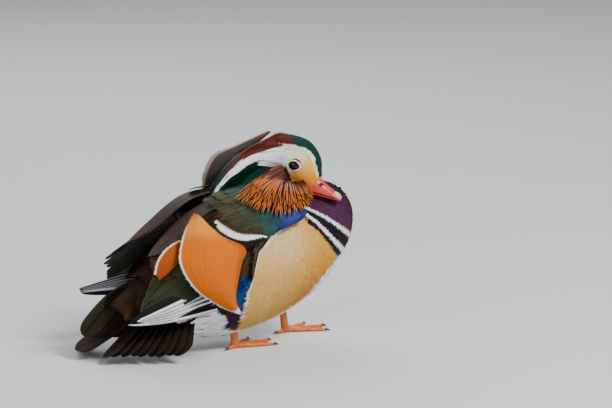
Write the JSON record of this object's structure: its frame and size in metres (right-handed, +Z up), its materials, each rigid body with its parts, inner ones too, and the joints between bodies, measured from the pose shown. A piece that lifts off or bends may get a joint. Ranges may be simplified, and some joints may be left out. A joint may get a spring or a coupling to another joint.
{
  "type": "mandarin duck",
  "caption": "male mandarin duck standing with its head turned over its shoulder, life-size still display model of a live bird, one sail feather raised and one lowered",
  "frame": {"origin": "on the floor under the middle of the whole bird's box", "axes": "+X is the way the body faces, +Y the bird's left, +Z up"},
  "size_m": [0.2764, 0.1324, 0.185],
  "materials": {
    "torso_plumage": "matte feathers",
    "neck_plumage": "matte feathers",
    "face_plumage": "matte feathers",
    "crest_plumage": "matte feathers",
    "hackles": "matte feathers",
    "eye": "wet gloss, near black",
    "bill": "smooth, coral red with a pale nail",
    "wing_plumage": "matte feathers",
    "sail_inner_face": "matte feathers",
    "sail_outer_face": "matte feathers",
    "tail_plumage": "matte feathers",
    "leg_skin": "scaled skin, orange"
  },
  "bodies": {
    "root": {"torso": "torso_plumage", "neck": "neck_plumage", "head": "face_plumage", "crest": "crest_plumage", "ruff_left": "hackles", "ruff_right": "hackles", "eye_left": "eye", "eye_right": "eye", "bill_upper": "bill", "bill_lower": "bill", "wing_left": "wing_plumage", "wing_right": "wing_plumage", "sail_left": "sail_inner_face", "sail_right": "sail_outer_face", "sail_small_right": "sail_outer_face", "tail": "tail_plumage", "leg_left": "leg_skin", "leg_right": "leg_skin", "foot_left": "leg_skin", "foot_right": "leg_skin"}
  },
  "joints": []
}
